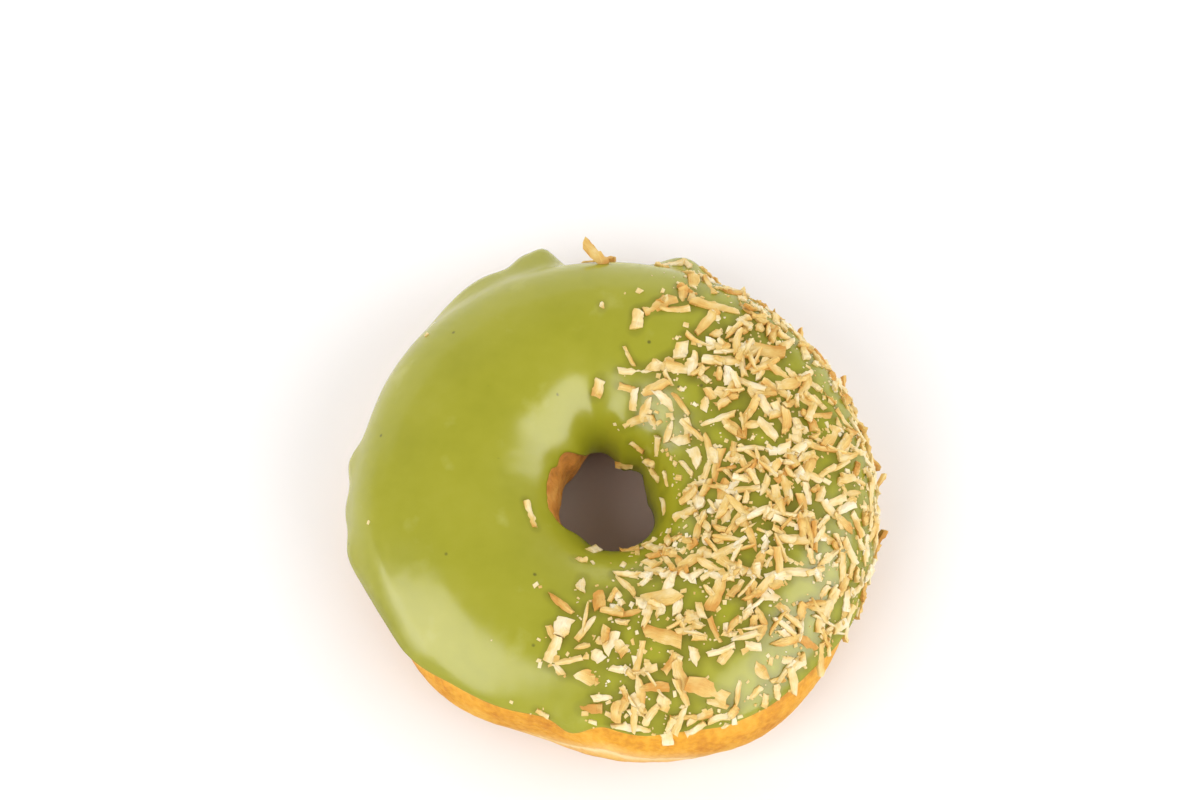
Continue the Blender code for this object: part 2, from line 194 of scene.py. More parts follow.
# Spots that it keeps off: X, Y, reach.
BARE_SPOTS = [
    (13.3, 30.2, 4.0),
    (21.0, -33.4, 4.5),
    (26.3, -27.9, 4.5),
    (36.7, 18.4, 4.0),
    (-4.0, -15.5, 8.0),
    (3.5, 29.0, 5.0),
    (-12.0, -24.0, 6.0),
    (-4.0, -37.0, 7.0),
]
# Shreds that stand clear enough to be known one by one: across, up, heading, length, width,
# seen from the front and above with the ring's middle as zero.
NAMED_SHREDS = [
    (-14.3, -0.7, 112, 4.8, 1.2),
    (-2.6, 21.3, 76, 3.1, 1.7),
    (4.2, 33.1, 80, 3.5, 2.0),
    (2.8, 26.7, 115, 3.9, 0.7),
    (4.0, 24.3, 0, 6.0, 1.1),
    (7.2, 25.0, 30, 3.0, 2.0),
    (9.5, 36.4, 20, 3.0, 2.3),
    (12.1, 37.3, 85, 3.0, 1.5),
    (7.3, 21.4, 25, 5.2, 1.9),
    (3.7, 19.2, 80, 4.2, 1.3),
    (5.7, 17.8, 62, 4.2, 1.6),
    (-8.9, -16.2, 140, 5.2, 1.2),
    (-8.7, -20.2, 70, 3.6, 2.8),
    (-10.5, -24.0, 65, 4.6, 1.9),
    (-2.4, -15.5, 95, 3.3, 2.0),
    (-4.3, -29.0, 150, 3.8, 2.4),
    (-3.7, -34.2, 5, 3.5, 1.7),
    (7.9, -15.0, 12, 6.8, 3.1),
    (16.0, -31.1, 155, 7.6, 2.9),
    (8.5, -21.8, 165, 6.2, 2.4),
    (26.5, 27.9, 3, 6.8, 2.9),
    (17.5, 35.6, 178, 8.4, 1.9),
    (4.6, -31.0, 95, 4.8, 1.5),
    (0.6, -34.6, 85, 3.6, 1.8),
    (3.0, -37.4, 165, 6.6, 1.4),
    (6.7, -35.2, 60, 4.2, 1.3),
    (9.2, -39.6, 100, 4.6, 1.9),
    (46.3, 1.4, 110, 4.6, 1.6),
    (25.5, 20.6, 30, 3.8, 3.2),
    (-3.3, -6.6, 60, 3.2, 1.9),
    (2.9, -6.7, 140, 4.0, 1.6),
    (-5.5, -8.5, 0, 2.0, 1.2),
    (6.3, -5.5, 20, 2.6, 1.1),
    (8.7, 0.6, 100, 3.6, 1.3),
    (10.7, -5.0, 0, 2.9, 0.9),
    (2.1, 8.3, 160, 3.0, 1.1),
    (4.2, 11.1, 125, 2.8, 1.0),
    (7.7, 11.1, 50, 3.6, 1.2),
    (6.4, 8.2, 0, 2.4, 1.4),
    (7.4, 6.1, 155, 2.6, 1.1),
    (9.2, 5.4, 95, 2.8, 0.7),
    (-1.9, 35.5, 90, 0.9, 0.8),
]
# Shreds with one end held well up: the same five values, the thickness and that end's rise.
RAISED_SHREDS = [
    (-3.0, 43.3, 128, 3.9, 1.8, 2.0, 1.6),
    (-2.4, 43.8, 5, 5.6, 1.3, 1.3, 0.4),
    (46.0, -4.9, 0, 3.6, 2.8, 1.1, 0.9),
    (45.9, 4.2, 60, 4.2, 1.5, 1.0, 1.1),
    (45.3, 9.0, 0, 3.4, 2.2, 1.0, 0.8),
    (39.6, 22.0, 60, 3.6, 1.8, 1.0, 1.0),
    (33.6, 30.4, 60, 4.0, 1.8, 1.0, 1.1),
    (27.2, 35.4, 110, 4.0, 2.0, 1.2, 0.9),
    (29.6, 36.4, 160, 4.6, 1.5, 1.0, 1.0),
]
# Shreds that lie over the first ones: across, up, half-width, half-height, how many.
HEAPS = [
    (25.5, 1.0, 8.0, 15.0, 96),
    (23.0, 29.0, 6.0, 6.0, 30),
    (36.0, 8.0, 6.0, 13.0, 24),
    (17.0, 6.0, 4.0, 12.0, 12),
    (-0.5, -16.5, 5.0, 4.0, 12),
    (-7.0, -20.0, 3.5, 3.5, 6),
    (6.0, -35.0, 4.0, 3.0, 6),
    (34.0, -21.0, 5.0, 6.0, 16),
]
HEAP_SEED = 29
HEAP_SHORTEST = 2.0
HEAP_LONGER_BY = 3.6  # the most that one is longer
HEAP_WIDTHS = (0.5, 1.5)
HEAP_THICKNESSES = (0.8, 1.0)
HEAP_LIKELIER = 2.5  # how many times the cover a heaped shred's chance is
HEAP_NEAR = 1.9  # shreds nearer than this are under it
HEAP_STEP = 0.4  # how much higher a shred lies for each one under it
HEAP_TOP = 0.45
HEAP_TIP_RISE = 0.5
# The icing's painted shadow round the shreds, deeper where they crowd.
SHADE_REACH = 0.9  # how far from a shred the icing is darker
SHADE_DEPTH = 0.5
CRUMB_SEED = 5
CRUMB_COUNT = 1400
CRUMB_SMALLEST = 0.24
CRUMB_LARGER_BY = 0.8
CRUMB_LENGTHS = (0.8, 1.9)
CRUMB_CORNERS = (0.6, 1.15)  # how far out its corners are, as a share of a plain block's
CRUMB_SINK = 0.12  # depth of a crumb's middle in the icing, as a share of its size
CRUMB_REACH = Vector((3, 0, 0))  # how much further left the crumbs fell than the shreds
CRUMB_COVER = 0.85
STRAY_CRUMBS = 0.0015

# Degrees of turn left free at the icing's outer edge and at its edge in the hole.
SHRED_MARGINS = (3, 4)
HEAP_MARGINS = (6, 8)
CRUMB_MARGINS = (2, 2)
# Powers on the random draws: the higher, the fewer come near the largest value.
LENGTH_POWER = 1.4
WIDER_POWER = 4
HEAP_LENGTH_POWER = 1.3
CRUMB_POWER = 3
TAPER_POWER = 2.4
BURNT_POWER = 7

# How a shred is torn and bent, as shares of its length, width or thickness.
SWAY = 0.22
CURL = (-0.03, 0.09)
TWIST = 0.4
SKEW = 0.5
TAPER = 0.8  # the most that it narrows towards an end
JAGS, FINE_JAGS = 0.28, 0.24
SPLINTERS = 0.22
MEAN_THICKNESS, UNEVEN_THICKNESS = 0.9, 0.5
THINNER_EDGES = 0.3
# How brown it is, where 0 is cream and 1 is brown.
TOAST_LEAST, TOAST_RANGE = -0.05, 0.70
TOAST_SLOPE = 0.25
BROWNED_EDGE = (0.1, 0.6)  # how much browner one long edge is than the other
BROWNED_EDGES = 0.22
# Painted shade: a shred's sides are darker and browner towards its underside.
UNDERSIDE_PAINTED_SHADE = 0.5
BURNT_FEW = 0.6  # a few of them are up to this much browner
CRUMB_TOAST_LEAST, CRUMB_TOAST_RANGE = 0.1, 0.8

# The softboxes, given as azimuth, width, bottom, top and radiance. Some light the surfaces,
# and the others, a little further away, are only seen as the shine in them.
LIT_BY = [
    (220.5, 1.07, 0.24, 2.1, 3.6),
    (335, 1.50, 0.10, 1.8, 2.6),
    (100, 2.40, 0.0, 1.3, 1.6),
]
SHINE_FROM = [
    (212.5, 0.96, 0.0, 2.2, 5.2),
    (335, 1.50, 0.10, 1.8, 5.4),
    (110, 2.00, 0.0, 0.50, 0.8),
]
LIT_DISTANCE, SHINE_DISTANCE = 1.0, 1.02
SOFTBOX_TINT = (1.0, 0.975, 0.95)
ROOM_LIGHT = 0.45
ROOM_TINT = (1.0, 0.985, 0.97)
FLOOR_SIZE = 3.0
# The painted glow on the table that carries the left softbox's shine down to the icing's rim, seen
# only in reflections, and the slope, seen from above, of the line that it stops at.
PAINTED_GLOW = (5.0, 4.9, 4.75)
PAINTED_GLOW_SLOPE = 0.62


def bell(azimuth, centre, width):
    """1 at the centre, falling smoothly to nothing about two widths away."""
    away = (azimuth - centre + 180) % 360 - 180
    return math.exp(-((away / width) ** 2))


def shelf(azimuth, centre, width):
    """Like bell, with a flatter top and steeper ends."""
    away = (azimuth - centre + 180) % 360 - 180
    return math.exp(-((away / width) ** 4))


def swell(azimuth, swells):
    return sum(gain * bell(azimuth, centre, width) for centre, width, gain in swells)


def fuller(share):
    return math.copysign(abs(share) ** FULLNESS, share)


@functools.cache
def ring_sizes(azimuth):
    """The ring's outer radius, hole radius and crest height here."""
    outer = OUTER_RADIUS + swell(azimuth, OUTER_SWELLS)
    hole = HOLE_RADIUS + swell(azimuth, HOLE_SWELLS)
    return outer, hole, CREST_HEIGHT + swell(azimuth, CREST_SWELLS)


def dough_point(azimuth, turn, proud=0.0):
    """The point that stands this far proud of the dough's surface."""
    outer, hole, crest = ring_sizes(azimuth)
    across = math.cos(math.radians(turn))
    up = math.sin(math.radians(turn))
    height = crest - WAIST_HEIGHT if up > 0 else WAIST_HEIGHT + FOOT_SINK
    angle = math.radians(azimuth)
    outward = Vector((math.cos(angle), math.sin(angle), 0.0))
    middle = (outer + hole) / 2
    half = (outer - hole) / 2
    round_point = outward * (middle + half * across) + Vector((0, 0, height * up))
    lump = UNEVEN * noise.noise(round_point / LUMP_SPACING)
    lump *= 1 - EVENING * min(1.0, max(0.0, proud / ICING_THICKNESS))
    radius = middle + (half + proud + lump) * fuller(across)
    radius += swell(azimuth, WAIST_SWELLS) * max(0.0, across) ** 4
    level = WAIST_HEIGHT + (height + proud + lump) * fuller(up)
    return outward * radius + Vector((0, 0, max(0.0, level)))


def placed(point):
    """The point in metres, moved so that the whole doughnut's middle is over the origin."""
    return (point + CENTRING) * MM


@functools.cache
def outer_edge(azimuth):
    centre, width, rise = EDGE_RISE_FRONT
    return EDGE_TURN_BACK + rise * bell(azimuth, centre, width) + swell(azimuth, TONGUES)


@functools.cache
def hole_edge(azimuth):
    centre, width, rise = EDGE_RISE_HOLE
    return EDGE_TURN_HOLE + rise * shelf(azimuth, centre, width) + swell(azimuth, HOLE_TONGUES)


def turns_within(azimuth, margins):
    """The icing's lowest and highest turn here, with these margins left at its edges."""
    outer_margin, hole_margin = margins
    return outer_edge(azimuth) + outer_margin, hole_edge(azimuth) - hole_margin


def drawn_up(azimuth, turn):
    """The turn that the icing at this turn of the CAD part has where its edge is higher."""
    low, high = outer_edge(azimuth), hole_edge(azimuth)
    return turn + swell(azimuth, EDGE_LIFTS) * (1 - (turn - low) / (high - low)) ** 3


def rounding(distance, radius):
    """The share of its full thickness that the icing has at this distance from its edge."""
    inward = min(1.0, max(0.0, distance / radius))
    return math.sqrt(1 - (1 - inward) ** 2)


@functools.cache
def beads(azimuth):
    """The icing gathered at its outer edge and at its edge in the hole."""
    return swell(azimuth, EDGE_BEADS), swell(azimuth, HOLE_BEADS)


def icing_thickness(azimuth, turn):
    outer_bead, hole_bead = beads(azimuth)
    from_outer = (turn - outer_edge(azimuth)) * ARC_PER_DEGREE
    from_hole = (hole_edge(azimuth) - turn) * ARC_PER_DEGREE
    gathered = outer_bead * math.exp(-(((from_outer - EDGE_BEAD_RISE) / EDGE_BEAD_REACH) ** 2))
    gathered += hole_bead * math.exp(-((from_hole / HOLE_BEAD_REACH) ** 2))
    outer_rounding = rounding(from_outer, BEAD_RADIUS + BEAD_ROUNDNESS * outer_bead)
    return (ICING_THICKNESS + gathered) * min(outer_rounding, rounding(from_hole, BEAD_RADIUS))


def icing_point(azimuth, turn):
    return dough_point(azimuth, turn, icing_thickness(azimuth, turn))


def icing_frame(azimuth, turn):
    """A point on the icing and the way its surface faces there."""
    step = 0.5
    point = icing_point(azimuth, turn)
    round_ring = icing_point(azimuth + step, turn) - icing_point(azimuth - step, turn)
    round_tube = icing_point(azimuth, turn + step) - icing_point(azimuth, turn - step)
    return point, round_ring.cross(round_tube).normalized()


def place_seen_at(across, up):
    """The azimuth and turn of the icing seen this far across and up from the ring's middle."""
    elevation = math.radians(VIEW_ELEVATION)
    level, deep = CREST_HEIGHT, 0.0
    azimuth = turn = 90.0
    for _ in range(8):
        above = level - WAIST_HEIGHT
        away = deep * math.cos(elevation) - above * math.sin(elevation)
        scale = 1 + away / VIEW_DISTANCE
        deep = (up * scale - above * math.cos(elevation)) / math.sin(elevation)
        azimuth = math.degrees(math.atan2(deep, across * scale))
        outer, hole, _ = ring_sizes(azimuth)
        half = (outer - hole) / 2 + ICING_THICKNESS
        share = (math.hypot(across * scale, deep) - (outer + hole) / 2) / half
        share = max(-1.0, min(1.0, share))
        turn = math.degrees(math.acos(math.copysign(abs(share) ** (1 / FULLNESS), share)))
        level = (level + icing_point(azimuth, turn).z) / 2
    return azimuth, turn


def coconut_cover(point):
    """How likely a shred is to have fallen here, from 0 to 1."""
    past_line = point.x - COCONUT_LINE_X - COCONUT_LINE_SLOPE * point.y
    from_hole = math.hypot(point.x, point.y) - BARE_ROUND_HOLE
    cover = min(1.0, max(0.0, past_line / COCONUT_FADE)) ** COCONUT_FADE_POWER
    cover *= min(1.0, max(0.0, from_hole / HOLE_FADE))
    cover *= MEAN_COVER + CLUMPING * noise.noise(point / CLUMP_SPACING)
    for start, end, loss in THINNING:
        cover *= 1 - loss * min(1.0, max(0.0, (point.y - start) / (end - start)))
    for x, y, reach in BARE_SPOTS:
        cover *= min(1.0, math.hypot(point.x - x, point.y - y) / reach) ** 2
    return cover


def shred_plan():
    """Azimuth, turn, heading, length, width, thickness and rise of each shred."""
    draw = random.Random(SHRED_SEED)
    plan = []
    taken = []
    known = []
    for shred in NAMED_SHREDS:
        thickness = draw.uniform(*NAMED_THICKNESSES)
        known.append((*shred, thickness, draw.uniform(-1, 1) * SHRED_TIP_RISE))
    for across, up, *form in known + RAISED_SHREDS:
        azimuth, turn = place_seen_at(across, up)
        plan.append((azimuth, turn, *form))
        taken.append((icing_point(azimuth, turn), form[1]))
    while len(plan) < SHRED_COUNT:
        azimuth = draw.uniform(-180, 180)
        turn = draw.uniform(*turns_within(azimuth, SHRED_MARGINS))
        size = draw.random()
        heading = draw.uniform(0, 180)
        length = SHORTEST + (LONGEST - SHORTEST) * size**LENGTH_POWER
        width = draw.uniform(*WIDTHS) + WIDER_FEW * draw.random() ** WIDER_POWER
        thickness = draw.uniform(*THICKNESSES)
        rise = draw.uniform(-1, 1) * SHRED_TIP_RISE
        kept = draw.random()
        point = icing_point(azimuth, turn)
        if kept > coconut_cover(point) * math.hypot(point.x, point.y) / OUTER_RADIUS:
            continue
        if any((point - near).length < SPACING * (length + long) for near, long in taken):
            continue
        plan.append((azimuth, turn, heading, length, width, thickness, rise))
        taken.append((point, length))
    return plan


# The meshes.


def azimuth_of(vertex):
    """The azimuth of the spin's step that the vertex is on."""
    step = round(math.atan2(vertex.co.y, vertex.co.x) / math.tau * RING_STEPS)
    return step * 360 / RING_STEPS


def spun(bm, section):
    """Spins a closed section, drawn in the XZ plane, into a ring of RING_STEPS steps."""
    bmesh.ops.spin(
        bm,
        geom=section,
        cent=(0, 0, 0),
        axis=(0, 0, 1),
        angle=math.tau,
        steps=RING_STEPS,
        use_merge=True,
    )
    bmesh.ops.remove_doubles(bm, verts=bm.verts, dist=1e-6)


def object_from(bm, name, skin, sharp_degrees=None):
    mesh = bpy.data.meshes.new(name)
    bm.to_mesh(mesh)
    bm.free()
    mesh.shade_smooth()
    if sharp_degrees:
        mesh.set_sharp_from_angle(angle=math.radians(sharp_degrees))
    mesh.materials.append(skin)
    obj = bpy.data.objects.new(name, mesh)
    bpy.context.scene.collection.objects.link(obj)
    return obj


def crust_relief(point):
    """The fried crust's wrinkles and small pits."""
    wrinkles = noise.fractal(point / WRINKLE_SPACING, 0.9, 2.1, 3)
    pits = max(0.0, noise.noise(point / PIT_SPACING + Vector((9, 4, 2))) - PITS_FROM)
    return CRUST_RELIEF * (wrinkles - PIT_DEPTH * pits)


@functools.cache
def wander(azimuth, seed):
    """A closed wandering line round the ring, from about -1 to 1."""
    angle = math.radians(azimuth)
    on_circle = Vector((math.cos(angle), math.sin(angle), seed))
    return noise.noise(on_circle * 4.0) + 0.6 * noise.noise(on_circle * 11.0)


@functools.cache
def pale_line(azimuth):
    wandering = PALE_LINE_WANDER * wander(azimuth, PALE_LINE_SEED)
    return PALE_LINE_TURN + swell(azimuth, PALE_LINE_RISES) + wandering


def make_dough(skin):
    bm = bmesh.new()
    off_line = bm.verts.layers.float.new("off_line")
    in_hole = bm.verts.layers.float.new("in_hole")
    circle = bmesh.ops.create_circle(bm, segments=DOUGH_SIDES, radius=1.0)
    for v in circle["verts"]:
        v.co = Vector((STAND_IN_RADIUS + v.co.x, 0.0, v.co.y))
    spun(bm, bm.verts[:] + bm.edges[:])
    for v in bm.verts:
        out = math.hypot(v.co.x, v.co.y) - STAND_IN_RADIUS
        turn = math.degrees(math.atan2(v.co.z, out))
        azimuth = azimuth_of(v)
        bare = dough_point(azimuth, turn)
        distance = (turn - pale_line(azimuth)) * ARC_PER_DEGREE
        v[off_line] = distance
        v[in_hole] = bell(turn, *HOLE_WALL)
        relief = crust_relief(bare) * (1 + HOLE_ROUGHER_BY * v[in_hole]) if bare.z > 0 else 0.0
        relief -= PALE_LINE_GROOVE * math.exp(-((distance / PALE_LINE_REACH) ** 2))
        v.co = placed(dough_point(azimuth, turn, relief))
    bmesh.ops.recalc_face_normals(bm, faces=bm.faces)
    return object_from(bm, "fried_dough", skin)


@functools.cache
def icing_rows(azimuth):
    """The turns of the icing's rows of vertices, close together at its two rounded edges."""
    close_rows = [distance / ARC_PER_DEGREE for distance in ICING_CLOSE_ROWS]
    low, high = outer_edge(azimuth), hole_edge(azimuth)
    first, last = low + close_rows[-1], high - close_rows[-1]
    between = [first + (last - first) * i / ICING_TOP_ROWS for i in range(1, ICING_TOP_ROWS)]
    return [low + s for s in close_rows] + between + [high - s for s in reversed(close_rows)]


def lie_along(heading, normal):
    """The direction of this heading, laid in the surface that faces along the normal."""
    angle = math.radians(heading)
    along = Vector((math.cos(angle), math.sin(angle), 0.0))
    return (along - normal * along.dot(normal)).normalized()


def shade_round(plan):
    """A function that tells how closely the plan's shreds crowd a point, from 0 to 1: the depth of
    the painted shadow that they cast on the icing.
    """
    middles = kdtree.KDTree(len(plan))
    lines = []
    for index, (azimuth, turn, heading, length, width, *_) in enumerate(plan):
        point, normal = icing_frame(azimuth, turn)
        middles.insert(point, index)
        lines.append((point, lie_along(heading, normal), length / 2, width / 2))
    middles.balance()
    widest = max(half_length for _, _, half_length, _ in lines) + 2 * SHADE_REACH

    def shade(point):
        light = 1.0
        for middle, index, _ in middles.find_range(point, widest):
            _, along, half_length, half_width = lines[index]
            off = point - middle
            down = max(-half_length, min(half_length, off.dot(along)))
            gap = max(0.0, (off - along * down).length - half_width)
            light *= 1 - SHADE_DEPTH * math.exp(-((gap / SHADE_REACH) ** 2))
        return 1 - light

    return shade


def make_icing(skin, plan):
    bm = bmesh.new()
    row_of = bm.verts.layers.int.new("row")
    under = bm.verts.layers.int.new("under")
    rim = bm.verts.layers.float.new("rim")
    shade = bm.verts.layers.float.new("shade")
    shade_at = shade_round(plan)
    top_rows = len(icing_rows(0.0))
    rows = [(row, 0, row / (top_rows - 1)) for row in range(top_rows)]
    rows += [(row, 1, row / ICING_UNDER_ROWS) for row in range(ICING_UNDER_ROWS - 1, 0, -1)]
    section = []
    for row, side, share in rows:
        angle, radius = math.pi * share, (1.0, 0.5)[side]
        out = STAND_IN_RADIUS + radius * math.cos(angle)
        v = bm.verts.new((out, 0.0, radius * math.sin(angle)))
        v[row_of] = row
        v[under] = side
        section.append(v)
    for i, v in enumerate(section):
        bm.edges.new((section[i - 1], v))
    spun(bm, bm.verts[:] + bm.edges[:])
    for v in bm.verts:
        azimuth = azimuth_of(v)
        turns = icing_rows(azimuth)
        low, high = turns[0], turns[-1]
        drift_low = EDGE_RAGGED * wander(azimuth, OUTER_EDGE_SEED)
        drift_high = HOLE_RAGGEDNESS * EDGE_RAGGED * wander(azimuth, HOLE_EDGE_SEED)
        share = v[row_of] / ICING_UNDER_ROWS
        turn = low + (high - low) * share if v[under] else turns[v[row_of]]
        share = (turn - low) / (high - low)
        seen_turn = drawn_up(azimuth, turn)
        seen_turn += drift_low * (1 - share) ** 3 + drift_high * share**3
        if v[under]:
            v.co = placed(dough_point(azimuth, seen_turn, -ICING_SINK))
            continue
        thick = icing_thickness(azimuth, turn)
        bare = dough_point(azimuth, turn, thick)
        ripples = ICING_RIPPLES * noise.noise(bare / ICING_RIPPLE_SPACING)
        waves = ICING_WAVES * (noise.noise(bare / ICING_WAVE_SPACING) + ripples)
        body = min(1.0, thick / ICING_THICKNESS)
        v[rim] = min(turn - low, high - turn) * ARC_PER_DEGREE
        # The painted shadow of the shreds here.
        v[shade] = shade_at(dough_point(azimuth, seen_turn, thick))
        sink = ICING_SINK * (1 - body)
        v.co = placed(dough_point(azimuth, seen_turn, thick + waves * body - sink))
    bmesh.ops.recalc_face_normals(bm, faces=bm.faces)
    return object_from(bm, "matcha_coating", skin)


def heaped_plan():
    """The plan's shreds and those heaped on them, each with how high it is lifted."""
    draw = random.Random(HEAP_SEED)
    heaped = [(*shred, 0.0) for shred in shred_plan()]
    middles = [icing_point(shred[0], shred[1]) for shred in heaped]
    for across, up, wide, high, count in HEAPS:
        for _ in range(count):
            azimuth, turn = place_seen_at(draw.gauss(across, wide), draw.gauss(up, high))
            heading = draw.uniform(0, 180)
            length = HEAP_SHORTEST + HEAP_LONGER_BY * draw.random() ** HEAP_LENGTH_POWER
            width = draw.uniform(*HEAP_WIDTHS)
            thickness = draw.uniform(*HEAP_THICKNESSES)
            rise = draw.uniform(-1, 1) * HEAP_TIP_RISE
            lowest, highest = turns_within(azimuth, HEAP_MARGINS)
            if not lowest < turn < highest:
                continue
            point = icing_point(azimuth, turn)
            if draw.random() > HEAP_LIKELIER * coconut_cover(point):
                continue
            below = sum((point - other).length < HEAP_NEAR for other in middles)
            lift = min(HEAP_TOP, HEAP_STEP * below)
            heaped.append((azimuth, turn, heading, length, width, thickness, rise, lift))
            middles.append(point)
    return [(shred[0], drawn_up(shred[0], shred[1]), *shred[2:]) for shred in heaped]


def chip_blank():
    """A plain slab, 1 long, 1 wide and 1 thick, with its bottom at height 0."""
    bm = bmesh.new()
    bmesh.ops.create_grid(bm, x_segments=8, y_segments=2, size=0.5)
    bmesh.ops.solidify(bm, geom=bm.faces[:], thickness=1.0)
    bmesh.ops.translate(bm, verts=bm.verts, vec=(0, 0, -min(v.co.z for v in bm.verts)))
    bmesh.ops.recalc_face_normals(bm, faces=bm.faces)
    return bm


def crumb_blank():
    bm = bmesh.new()
    bmesh.ops.create_cube(bm, size=1.0)
    return bm


def copies(blank, count):
    """A bmesh with this many copies of the blank, their vertices in the same order."""
    mesh = bpy.data.meshes.new("blank")
    blank.to_mesh(mesh)
    blank.free()
    bm = bmesh.new()
    for _ in range(count):
        bm.from_mesh(mesh)
    each = len(mesh.vertices)
    bpy.data.meshes.remove(mesh)
    # The toast layer holds how brown the coconut is, and on the shreds also a painted shade
    # towards their undersides.
    layers = bm.verts.layers.float.new("toast"), bm.verts.layers.float_vector.new("grain_place")
    bm.verts.ensure_lookup_table()
    blocks = [bm.verts[i * each:(i + 1) * each] for i in range(count)]
    return bm, blocks, layers


def chip(verts, layers, shred, index):
    """Makes a slab a torn strip of coconut: ragged, and a little bent and twisted."""
    azimuth, turn, heading, length, width, thickness, rise, lift = shred
    toast_and_shade_of, grain_of = layers
    draw = random.Random(SHRED_SEED * 1000 + index)
    point, normal = icing_frame(azimuth, turn)
    along = lie_along(heading, normal)
    side = normal.cross(along)
    rise_share = max(0.0, abs(rise) - SHRED_TIP_RISE) / max(abs(rise), SHRED_TIP_RISE)
    sway = draw.uniform(-SWAY, SWAY) * length
    curl = draw.uniform(*CURL) * length
    twist = draw.uniform(-TWIST, TWIST)
    skews = [draw.uniform(-SKEW, SKEW) for _ in range(2)]
    tapers = [TAPER * draw.random() ** TAPER_POWER for _ in range(2)]
    toast = TOAST_RANGE * draw.random() + TOAST_LEAST
    toast_slope = draw.uniform(-TOAST_SLOPE, TOAST_SLOPE)
    browned_edge = draw.choice((-1, 1)) * draw.uniform(*BROWNED_EDGE)
    toast += BURNT_FEW * draw.random() ** BURNT_POWER
    seed = Vector((index * 3.7, index * 1.3, 0))
    for v in verts:
        x, y, z = v.co
        end = 1 if x > 0 else 0
        browning_and_shade = abs(browned_edge) / 2 + browned_edge * y
        # Browner edges, and a painted shade that darkens the sides towards the underside.
        browning_and_shade = browning_and_shade + BROWNED_EDGES * abs(2 * y) + UNDERSIDE_PAINTED_SHADE * (1 - z)
        v[toast_and_shade_of] = toast + toast_slope * 2 * x + browning_and_shade
        v[grain_of] = Vector((x * length, y * width, 0)) + seed
        narrow = 1 - tapers[end] * abs(2 * x) ** 2
        jag = 1 + JAGS * noise.noise(seed + Vector((x * 3, y * 4, 0)))
        jag += FINE_JAGS * noise.noise(seed + Vector((x * 11, y * 4, 5)))
        across = y * width * narrow * jag + sway * (0.25 - x * x)
        splinter = 1 + SPLINTERS * noise.noise(seed + Vector((0, y * 5, 3 + end)))
        down_length = x * length * splinter + skews[end] * y * width * abs(2 * x) ** 2
        uneven = UNEVEN_THICKNESS * noise.noise(seed + Vector((x * 5, y * 5, 8)))
        slab = thickness * (MEAN_THICKNESS + uneven)
        up = z * slab * (1 - THINNER_EDGES * abs(2 * y) ** 3) + curl * (4 * x * x - 0.5)
        up += rise * (2 * x + rise_share) + twist * y * width * x - SHRED_SINK + lift
        v.co = placed(point + along * down_length + side * across + normal * up)


def make_shreds(skin, plan):
    bm, blocks, layers = copies(chip_blank(), len(plan))
    for index, shred in enumerate(plan):
        chip(blocks[index], layers, shred, index)
    return object_from(bm, "coconut_shreds", skin, 32)


def make_crumbs(skin):
    draw = random.Random(CRUMB_SEED)
    bm, blocks, (toast_and_shade_of, grain_of) = copies(crumb_blank(), CRUMB_COUNT)
    made = 0
    while made < CRUMB_COUNT:
        azimuth = draw.uniform(-180, 180)
        turn = draw.uniform(*turns_within(azimuth, CRUMB_MARGINS))
        kept = draw.random()
        point = icing_point(azimuth, turn)
        spread = CRUMB_COVER * coconut_cover(point + CRUMB_REACH) + STRAY_CRUMBS
        if kept > spread * math.hypot(point.x, point.y) / OUTER_RADIUS:
            continue
        point, normal = icing_frame(azimuth, drawn_up(azimuth, turn))
        size = CRUMB_SMALLEST + CRUMB_LARGER_BY * draw.random() ** CRUMB_POWER
        toast = CRUMB_TOAST_LEAST + CRUMB_TOAST_RANGE * draw.random()
        lie = normal.to_track_quat("Z", "Y").to_matrix().to_4x4()
        lie = Matrix.Translation(point - normal * size * CRUMB_SINK) @ lie
        lie = lie @ Matrix.Rotation(draw.uniform(0, math.pi), 4, "Z")
        stretch = Vector((draw.uniform(*CRUMB_LENGTHS), 1.0, 0.8)) * size
        for v in blocks[made]:
            loose = Vector([draw.uniform(*CRUMB_CORNERS) for _ in range(3)])
            local = v.co * stretch * loose
            v.co = placed(lie @ local)
            v[toast_and_shade_of] = toast
            v[grain_of] = point + local
        made += 1
    return object_from(bm, "coconut_crumbs", skin, 30)


# The materials.


def grain_group():
    """A cloudy pattern from 0 to 1: its scale, its detail and the noise it starts and ends at."""
    group = bpy.data.node_groups.new("grain", "ShaderNodeTree")
    for name, value in (("Scale", 100.0), ("Detail", 2.0), ("Low", 0.3), ("High", 0.7)):
        socket = group.interface.new_socket(name, in_out="INPUT", socket_type="NodeSocketFloat")
        socket.default_value = value
    group.interface.new_socket("Place", in_out="INPUT", socket_type="NodeSocketVector")
    group.interface.new_socket("Amount", in_out="OUTPUT", socket_type="NodeSocketFloat")
    given = group.nodes.new("NodeGroupInput").outputs
    pattern = group.nodes.new("ShaderNodeTexNoise")
    spread = group.nodes.new("ShaderNodeMapRange")
    result = group.nodes.new("NodeGroupOutput")
    for source, socket in (
        (given["Place"], pattern.inputs["Vector"]),
        (given["Scale"], pattern.inputs["Scale"]),
        (given["Detail"], pattern.inputs["Detail"]),
        (given["Low"], spread.inputs["From Min"]),
        (given["High"], spread.inputs["From Max"]),
        (pattern.outputs["Fac"], spread.inputs["Value"]),
        (spread.outputs["Result"], result.inputs["Amount"]),
    ):
        group.links.new(source, socket)
    return group


